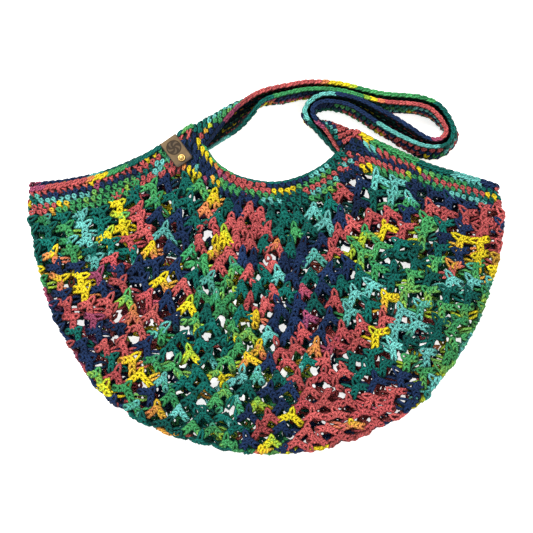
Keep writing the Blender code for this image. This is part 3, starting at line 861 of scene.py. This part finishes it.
def bandStrands(side):
    columns = round(bandLength / band["pitch"])
    rows = band["rows"]
    strands = []
    for row in range(rows):
        slip = (band["slip"] * row) % 1.0
        c = (np.arange(-1, columns + 1) + slip) / columns
        c = c[(c > -0.75 / columns) & (c < 1 + 0.75 / columns)]
        count = len(c)
        s = np.interp(c * bandLength, bandRun, bandSpan)
        tall = np.linalg.norm(rimAt(s) - topAt(s, "bandGather"), axis=-1) / rows
        points = knotPoints(count, 1.0, loose=0.42, slack=0.3)
        if side > 0:
            pressed = underLabel(bandMap(c, np.full(count, (row + 0.5) / rows), np.zeros(count), side))
            points[pressed, :, 2] = 0.2 * knotShape[None, :, 2] - 0.5
        stretch = np.clip(tall / band["knotTall"], 0.8, 1.3)[:, None]
        a = c[:, None] + points[..., 0] / bandLength
        w = (row + 0.5 + points[..., 1] * stretch / tall[:, None]) / rows
        placedAt, out = onCloth(lambda i, j, high: bandMap(i, j, high, side), a, w, points[..., 2] + 0.3)
        tone = chance.normal(1.0, 0.07, count)
        dye = colourRun(bandRuns[row], (c + (0 if side > 0 else band["backShift"])) % 1.0)
        strands.append({
            "points": placedAt, "out": out, "rise": points[..., 2], "tone": tone, "drift": 0.015,
            "dye": dye + chance.normal(0, 0.018, count),
        })
    return strands


rimSteps = np.linspace(0, 1, 1500)
rimPlaces = bandMap(rimSteps, np.ones(len(rimSteps)), np.zeros(len(rimSteps)), 1, True)
leatherFrom, leatherTo = rimSteps[underLabel(rimPlaces)][[0, -1]]


def edgeStrands(side):
    count = round(rimRun[-1] / band["edgePitch"])
    c = (np.arange(-1, count + 1) + 0.5) / count
    s = np.interp(c * rimRun[-1], rimRun, bandSpan)
    free = np.ones(len(s), bool)
    for start, end in band["strapRoots"]:
        free &= (s < start) | (s > end)
    if side > 0:
        free &= (c < leatherFrom + 0.004) | (c > leatherTo - 0.004)
    c, s = c[free], s[free]
    tall = np.linalg.norm(rimAt(s) - topAt(s, "bandGather"), axis=-1)
    # the mouth's edge is pulled taut and thin
    taut = ease(s, *band["mouthStart"]) * (1 - ease(s, *band["mouthEnd"]))
    points = chainPoints(len(c), band["edgeLong"], band["edgeHalf"], twist=1.2)
    points[..., 1] *= 1 - 0.6 * taut[:, None]
    a = c[:, None] + (points[..., 0] - band["edgeLong"] / 2) / rimRun[-1]
    if side > 0:
        # the links beside the label end inside its fold
        before = c[:, None] < (leatherFrom + leatherTo) / 2
        a = np.where(before, np.minimum(a, leatherFrom), np.maximum(a, leatherTo))
    w = 1.0 + (points[..., 1] * 0.85 + 1.0 + 0.3 * taut[:, None]) / tall[:, None]
    high = points[..., 2] + 1.2 - 0.35 * points[..., 1] - 1.1 * taut[:, None]
    placedAt, out = onCloth(lambda i, j, h: bandMap(i, j, h, side, True), a, w, high)
    dye = colourRun(bandRuns["edge" if side > 0 else "backEdge"], c) + chance.normal(0, 0.012, len(c))
    strands = []
    for part, swell in ((taut < 0.5, 1.12), (taut >= 0.5, 0.85)):
        strands.append({
            "points": placedAt[part], "out": out[part], "rise": high[part], "dye": dye[part], "drift": 0.01,
            "tone": chance.normal(1.0, 0.05, part.sum()), "swell": swell,
        })
    return strands


def laidGrid(mapping, across, along):
    bm = bmesh.new()
    bmesh.ops.create_grid(bm, x_segments=across, y_segments=along, size=0.5)
    spots = np.array([(v.co.x + 0.5, v.co.y + 0.5) for v in bm.verts])
    for vert, place in zip(bm.verts, mapping(spots[:, 0], spots[:, 1])):
        vert.co = place
    return bm, spots


def bmeshPiece(name, bm, finish):
    mesh = bpy.data.meshes.new(name)
    bm.to_mesh(mesh)
    bm.free()
    return addPiece(name, mesh, finish)


def shadowSheetPiece(name, mapping, across, along, thick=0.8):
    # painted shadow: a dark sheet under the stitches, which shows as shade in the gaps between them
    bm, _ = laidGrid(mapping, across, along)
    bmesh.ops.remove_doubles(bm, verts=bm.verts, dist=1e-5)
    bmesh.ops.recalc_face_normals(bm, faces=bm.faces)
    bmesh.ops.solidify(bm, geom=bm.faces, thickness=thick * mm)
    bmesh.ops.recalc_face_normals(bm, faces=bm.faces)
    return bmeshPiece(name, bm, shadowSheetMaterial)


def bandShadowSheetMap(u, v):
    # along the front from left to right, and along the back to the left again
    turn = u * 4.0
    front = turn < 2
    c = np.where(front, turn / 2, (4 - turn) / 2) * 0.997 + 0.0015
    w = v * 0.96 + 0.02
    return np.where(front[:, None], bandMap(c, w, u * 0, 1), bandMap(c, w, u * 0, -1))


bandFront = yarnPiece("rim_band_front", bandStrands(1) + edgeStrands(1), band["yarn"], 1, yarnCotton)
bandBack = yarnPiece("rim_band_back", bandStrands(-1) + edgeStrands(-1), band["yarn"], 0, yarnCotton)
# a dark sheet inside the band, as painted shadow in its gaps
bandShadowSheet = shadowSheetPiece("rim_band_shadow_sheet", bandShadowSheetMap, 240, 5)


# the dye along the strap's rows, from its left root; a formula gives it for the rows left out here
strapRuns = {
    "front": (
        "navy 6, magenta 4, coral 17, orange 1.5, yellow 4, lime 1.5, green 15, teal 11, aqua 13, "
        "navy 18.5, magenta 2.5, coral 6"
    ),
    "back": (
        "aqua 5, teal 12, green 18, lime 1, yellow 2, orange 1.5, coral 20, magenta 3, navy 20, aqua 9, "
        "teal 8.5"
    ),
    0: (
        "navy 5, green 7, coral 14, yellow 3, green 14, teal 17, coral 9, navy 4, teal 5, green 6, "
        "navy 10, teal 4, navy 2"
    ),
    1: (
        "coral 1.5, orange 1, lime 1.5, green 4, aqua 4, green 14, coral 12, navy 14, aqua 8, navy 9, "
        "coral 6, navy 13, aqua 2, navy 4, aqua 4, coral 2"
    ),
    2: (
        "teal 3, aqua 5, teal 7, navy 9, teal 16, aqua 14, coral 5, green 3, yellow 2, coral 5, navy 3, "
        "yellow 2, coral 8, teal 12, navy 3, coral 3"
    ),
    3: (
        "teal 6, green 4, aqua 3, coral 9, yellow 3, green 16, teal 14, navy 10, coral 8, green 14, "
        "teal 6, coral 7"
    ),
    4: (
        "teal 5, aqua 4, navy 6, teal 20, aqua 8, green 10, coral 6, yellow 5, green 12, teal 14, aqua 4, "
        "coral 7"
    ),
    9: "coral 14, magenta 4, navy 14, teal 14, aqua 10, green 6, coral 12, teal 14, aqua 12",
    8: (
        "yellow 8, coral 6, yellow 2, orange 2, navy 12, green 16, navy 14, coral 10, teal 14, navy 8, "
        "green 8"
    ),
}


def strapStrands():
    count, rows = strap["stitchesLong"], strap["stitchRows"]
    steps = np.arange(count)
    strands = []
    for row in range(rows):
        q = (steps + 0.3 * (row % 3) + 0.2) / count
        points = knotPoints(count, strap["knotSize"], loose=0.25, slack=0.16)
        a = q[:, None] + points[..., 0] / strapLength
        p = 0.035 + 0.93 * (row + 0.5) / rows - points[..., 1] / strap["rowWidth"]
        if row in strapRuns:
            dye = colourRun(strapRuns[row], q)
        else:
            dye = (0.05 + 0.37 * row + steps / 25.0) % 1.0 + 0.09 * np.sin(steps * 0.9 + row)
        placedAt, out = onCloth(strapMap, a, p, points[..., 2] + 0.2)
        tone = chance.normal(0.95, 0.07, count)
        strands.append({
            "points": placedAt, "out": out, "rise": points[..., 2], "tone": tone, "drift": 0.015,
            "dye": dye + chance.normal(0, 0.02, count), "bothFaces": True,
        })
    count = round(strapLength / band["edgePitch"])
    q = (np.arange(count) + 0.5) / count
    for edge, start, way in (("front", 0.0, -1.0), ("back", 1.0, 1.0)):
        points = chainPoints(count, strap["edgeLong"], strap["edgeHalf"], twist=0.6)
        a = q[:, None] + (points[..., 0] - strap["edgeLong"] / 2) / strapLength
        p = start + way * (points[..., 2] * 0.9 + 0.6) / strap["width"]
        placedAt = strapMap(a, p, points[..., 1])
        out = unit(strapMap(a, p + way / 80, points[..., 1]) - placedAt)
        tone = chance.normal(1.0, 0.08, count)
        strands.append({
            "points": placedAt, "out": out, "rise": 0.9, "tone": tone, "swell": 0.98, "drift": 0.01,
            "dye": colourRun(strapRuns[edge], q) + chance.normal(0, 0.012, count),
        })
    return strands


strapYarn = yarnPiece("strap_crochet", strapStrands(), band["yarn"], 1, yarnCotton, 0.4)
# a dark sheet inside the strap, as painted shadow in its gaps
strapShadowSheet = shadowSheetPiece("strap_shadow_sheet", lambda u, v: strapMap(u, v * 0.98 + 0.01, u * 0), 200, 14)


def labelMap(x, y):
    # up the front flap, over the rim and down the back flap
    turnR = bag["cloth"] / 2 + label["bendRoom"] + label["thick"] / 2
    top, bend = label["bendAt"], math.pi * turnR
    frontLong, backLong = label["front"] - top, label["back"] - top
    run = y * (frontLong + bend + backLong)
    turn = np.clip((run - frontLong) / turnR, 0, math.pi)
    onBack = np.where(run > frontLong + bend, top + run - frontLong - bend, top - turnR * np.sin(turn))
    down = np.where(run < frontLong, label["front"] - run, onBack)
    rise = turnR * np.cos(turn)
    toEnd = np.minimum(run, frontLong + bend + backLong - run)
    near = np.clip(label["corner"] - toEnd, 0, label["corner"])
    half = label["halfWide"] - (label["corner"] - np.sqrt(np.maximum(label["corner"] ** 2 - near ** 2, 0)))
    across = (x - 0.5) * 2 * half
    plan = np.array(label["top"]) + labelDown * down[:, None] + labelAcross * across[:, None]
    return placed(plan, bag["frontHeight"] + rise)


leather = {
    "pale": "#68502C", "deep": "#584424", "grain": "#43352A", "worn": "#2E231A", "disc": "#2A2018",
    "pressed": "#1A130E", "petals": 5.0, "swirl": 0.9, "shine": 0.28,
}


def leatherFinish(name):
    look = Finish(name)
    tint = {key: linear(leather[key]) for key in ("pale", "deep", "grain", "worn", "disc", "pressed")}
    centre = np.array(label["top"]) + labelDown * label["ringDown"]
    x, y, z = look.axes(look.node("ShaderNodeMapping", {"vector_type": "TEXTURE"}, {
        "Vector": look.place(), "Location": (centre[0] * mm, (centre[1] - bag["midY"]) * mm, 0),
        "Rotation": (0, 0, math.atan2(labelAcross[1], labelAcross[0])), "Scale": (mm, mm, mm),
    }))
    radius = (x * x + y * y).math("SQRT")
    angle = y.math("ARCTAN2", y, x)
    # a round pressed rosette of swirling petals, darker than the leather round it
    petals = (angle * leather["petals"] + radius * leather["swirl"]).math("SINE").smooth(-0.1, 0.45)
    petals = petals * radius.smooth(1.4, 2.0)
    disc = 1 - radius.smooth(label["ringRadius"] - 0.35, label["ringRadius"])
    relief = disc * (1 - petals * (1 - radius.smooth(6.0, 6.3)))
    top = z.smooth(13.2, 14.2)
    pressed = relief * top
    grain = look.noise(900.0, 5.0)
    cloud = look.noise(90.0, 3.0)
    where = {"Vector": look.place(), "Scale": 1500.0}
    pores = look.node("ShaderNodeTexVoronoi", {"feature": "DISTANCE_TO_EDGE"}, where)
    colour = look.mix(cloud.smooth(0.3, 0.7), tint["deep"], tint["pale"])
    colour = look.mix(grain.smooth(0.55, 0.75) * 0.35, colour, tint["grain"])
    colour = look.mix(look.attribute("edge").smooth(0.35, 0.8) * 0.85, colour, tint["worn"])
    colour = look.mix(disc * top * 0.5, colour, tint["disc"])
    colour = look.mix(pressed * 0.7, colour, tint["pressed"])
    height = grain * 0.25 + pores * 0.5 - pressed * 2.0
    look.feed(
        Base_Color=colour, Roughness=grain * 0.2 + 0.45 + pressed * 0.2,
        Normal=look.bump(height, 0.5, 0.0004), Specular_IOR_Level=leather["shine"],
    )
    return look.material


def buildLabel():
    bm, spots = laidGrid(labelMap, label["stepsAcross"], label["stepsAlong"])
    edge = bm.verts.layers.float.new("edge")
    for vert, spot in zip(bm.verts, spots):
        rim = max(abs(spot[0] - 0.5) * 2, abs(spot[1] - 0.5) * 2)
        vert[edge] = max(0.0, (rim - 0.8) / 0.2)
    bmesh.ops.recalc_face_normals(bm, faces=bm.faces)
    made = bmeshPiece("leather_label_strip", bm, leatherFinish("tan_leather"))
    wall = made.modifiers.new("thickness", "SOLIDIFY")
    wall.thickness = label["thick"] * mm
    wall.offset = 0
    wall.use_even_offset = True
    soft = made.modifiers.new("soft_edges", "BEVEL")
    soft.width = 0.3 * mm
    soft.segments = 2
    soft.limit_method = "ANGLE"
    return made


# the caps are pairs of radius and height over the leather
rivet = {
    "down": 22.6, "across": 0.2, "post": 1.5, "clear": 0.6, "steps": 32, "pale": "#B8975A", "deep": "#7E6236",
    "backCap": [(0, -1.2), (2.8, -1.2), (3.4, -0.8), (3.5, -0.3), (3.3, 0)],
    "frontCap": [
        (3.4, 0), (3.6, 0.2), (3.6, 0.5), (3.35, 0.85), (2.95, 0.95), (2.55, 0.7), (2.35, 0.95),
        (1.9, 1.25), (1.0, 1.5), (0, 1.55),
    ],
}


def brassFinish(name):
    look = Finish(name)
    wear = look.noise(500.0, 4.0)
    rub = look.noise(2200.0, 2.0)
    colour = look.mix(wear.smooth(0.35, 0.75), linear(rivet["pale"]), linear(rivet["deep"]))
    look.feed(
        Base_Color=colour, Roughness=wear * 0.2 + 0.34, Metallic=1.0, Normal=look.bump(rub, 0.1, 0.0001),
    )
    return look.material


def buildRivet():
    top = bag["frontHeight"] + bag["cloth"] / 2 + label["thick"] + rivet["clear"]
    low = bag["frontHeight"] - bag["cloth"] / 2 - label["thick"] - rivet["clear"]
    outline = [(r, low + z) for r, z in rivet["backCap"]] + [(rivet["post"], low), (rivet["post"], top)]
    outline += [(r, top + z) for r, z in rivet["frontCap"]]
    at = np.array(label["top"]) + labelDown * rivet["down"] + labelAcross * rivet["across"]
    bm = bmesh.new()
    verts = [bm.verts.new((r * mm, 0, z * mm)) for r, z in outline]
    edges = [bm.edges.new(pair) for pair in zip(verts, verts[1:])]
    bmesh.ops.spin(
        bm, geom=verts + edges, cent=(0, 0, 0), axis=(0, 0, 1), angle=2 * math.pi, steps=rivet["steps"],
        use_merge=True,
    )
    bmesh.ops.remove_doubles(bm, verts=bm.verts, dist=1e-6)
    bmesh.ops.recalc_face_normals(bm, faces=bm.faces)
    bmesh.ops.translate(bm, verts=bm.verts, vec=(at[0] * mm, (at[1] - bag["midY"]) * mm, 0))
    return bmeshPiece("rivet", bm, brassFinish("worn_brass"))


labelPiece = buildLabel()
rivetPiece = buildRivet()
print("label and rivet made")


# node, its slot and the pieces that replace it
dressed = (
    ("net_pouch", "cotton_net", [netLeft, netRight, netBack]),
    ("rim_band", "cotton_band", [bandFront, bandBack, bandShadowSheet]),
    ("strap", "cotton_strap", [strapYarn, strapShadowSheet]),
    ("leather_label", "leather", [labelPiece]), ("label_rivet", "brass", [rivetPiece]),
)
for node, slotName, pieces in dressed:
    for piece in pieces:
        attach(piece, "root")
        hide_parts(node)


studio = {
    "floor": (0.82, 0.82, 0.81, 1), "glow": (1, 1, 0.985, 1), "glowStrength": 0.72, "floorSize": 3.0,
    "worldStrength": 0.72,
    "lights": {
        "key": {"at": (-0.75, 0.95, 1.5), "size": 0.6, "watts": 46.0},
        "fill": {"at": (0.9, -0.4, 1.6), "size": 1.6, "watts": 9.0},
    },
}


def buildStage():
    look = Finish("pale_floor")
    look.feed(
        Base_Color=studio["floor"], Roughness=0.9, Specular_IOR_Level=0.1, Emission_Color=studio["glow"],
        Emission_Strength=studio["glowStrength"],
    )
    bm = bmesh.new()
    bmesh.ops.create_grid(bm, x_segments=2, y_segments=2, size=studio["floorSize"])
    bmeshPiece("floor", bm, look.material)


def buildLights():
    for name, light in studio["lights"].items():
        lamp = bpy.data.lights.new(name, "AREA")
        lamp.energy = light["watts"]
        lamp.size = light["size"]
        holder = bpy.data.objects.new(name, lamp)
        holder.location = light["at"]
        holder.rotation_euler = (-Vector(light["at"])).to_track_quat("-Z", "Y").to_euler()
        bpy.context.scene.collection.objects.link(holder)
    world = bpy.data.worlds.new("studio")
    world.use_nodes = True
    background = world.node_tree.nodes["Background"]
    background.inputs["Color"].default_value = (1, 1, 1, 1)
    background.inputs["Strength"].default_value = studio["worldStrength"]
    bpy.context.scene.world = world
    bpy.context.scene.view_settings.view_transform = "Standard"


# pixel is the size in millimetres of one pixel of the photograph, and frame its width in pixels
shot = {"distance": 0.600, "tilt": math.radians(7), "pixel": 0.95, "frame": 533, "target": (0.0, -3.8, 8.0)}


def buildCamera():
    data = bpy.data.cameras.new("camera")
    data.sensor_width = 36
    data.lens = shot["distance"] / (shot["pixel"] * mm) * data.sensor_width / shot["frame"]
    data.clip_start = 0.01
    holder = bpy.data.objects.new("camera", data)
    tilt = shot["tilt"]
    target = Vector(shot["target"]) * mm
    holder.location = target - Vector((0, math.sin(tilt), -math.cos(tilt))) * shot["distance"]
    holder.rotation_euler = (tilt, 0, 0)
    bpy.context.scene.collection.objects.link(holder)
    bpy.context.scene.camera = holder


buildStage()
buildLights()
buildCamera()
print("floor, lights and camera ready")
